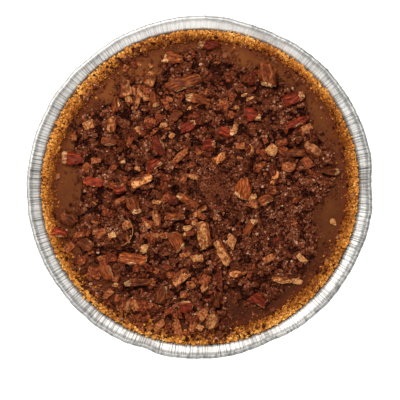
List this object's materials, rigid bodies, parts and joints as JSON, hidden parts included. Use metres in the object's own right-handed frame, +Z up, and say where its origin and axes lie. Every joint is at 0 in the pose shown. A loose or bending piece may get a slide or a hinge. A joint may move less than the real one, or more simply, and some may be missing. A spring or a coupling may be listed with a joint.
{
  "type": "pie in a foil tin",
  "caption": "Round pumpkin pie in a crumb crust, topped with dark streusel and chopped pecans, baked in a pleated foil tin with a rolled rim.",
  "frame": {"origin": "centre of the tin's flat base, on the table", "axes": "+Z up out of the pie; +Y towards the top of the picture, +X to its right"},
  "size_m": [0.2304, 0.2286, 0.0345],
  "materials": {
    "foil": "bright pleated foil with a rolled rim",
    "crumb_crust": "dry golden-brown crumbs",
    "pumpkin_filling": "smooth and a little moist",
    "streusel": "rough dark-brown crumbs",
    "pecan_red": "nut skin, dark red-brown",
    "pecan_brown": "nut skin, brown",
    "pecan_orange": "nut skin, orange-brown",
    "pecan_tan": "broken nut, tan",
    "pecan_cream": "broken nut, cream"
  },
  "bodies": {
    "root": {"foil_tin": "foil", "crumb_crust": "crumb_crust", "pumpkin_filling": "pumpkin_filling", "streusel": "streusel", "pecan_red_01": "pecan_red", "pecan_brown_02": "pecan_brown", "pecan_tan_03": "pecan_tan", "pecan_tan_04": "pecan_tan", "pecan_tan_05": "pecan_tan", "pecan_brown_06": "pecan_brown", "pecan_brown_07": "pecan_brown", "pecan_brown_08": "pecan_brown", "pecan_brown_09": "pecan_brown", "pecan_brown_10": "pecan_brown", "pecan_red_11": "pecan_red", "pecan_red_12": "pecan_red", "pecan_red_13": "pecan_red", "pecan_orange_14": "pecan_orange", "pecan_red_15": "pecan_red", "pecan_red_16": "pecan_red", "pecan_red_17": "pecan_red", "pecan_tan_18": "pecan_tan", "pecan_red_19": "pecan_red", "pecan_red_20": "pecan_red", "pecan_cream_21": "pecan_cream", "pecan_red_22": "pecan_red", "pecan_red_23": "pecan_red", "pecan_red_24": "pecan_red", "pecan_brown_25": "pecan_brown", "pecan_tan_26": "pecan_tan", "pecan_orange_27": "pecan_orange", "pecan_orange_28": "pecan_orange", "pecan_orange_29": "pecan_orange", "pecan_tan_30": "pecan_tan", "pecan_cream_31": "pecan_cream", "pecan_tan_32": "pecan_tan", "pecan_brown_33": "pecan_brown", "pecan_brown_34": "pecan_brown", "pecan_tan_35": "pecan_tan", "pecan_orange_36": "pecan_orange", "pecan_tan_37": "pecan_tan", "pecan_orange_38": "pecan_orange", "pecan_cream_39": "pecan_cream", "pecan_orange_40": "pecan_orange", "pecan_cream_41": "pecan_cream", "pecan_orange_42": "pecan_orange", "pecan_brown_43": "pecan_brown", "pecan_tan_44": "pecan_tan", "pecan_tan_45": "pecan_tan", "pecan_tan_46": "pecan_tan", "pecan_cream_47": "pecan_cream", "pecan_brown_48": "pecan_brown", "pecan_red_49": "pecan_red", "pecan_tan_50": "pecan_tan", "pecan_red_51": "pecan_red", "pecan_cream_52": "pecan_cream", "pecan_orange_53": "pecan_orange", "pecan_brown_54": "pecan_brown", "pecan_tan_55": "pecan_tan", "pecan_red_56": "pecan_red"}
  },
  "joints": []
}
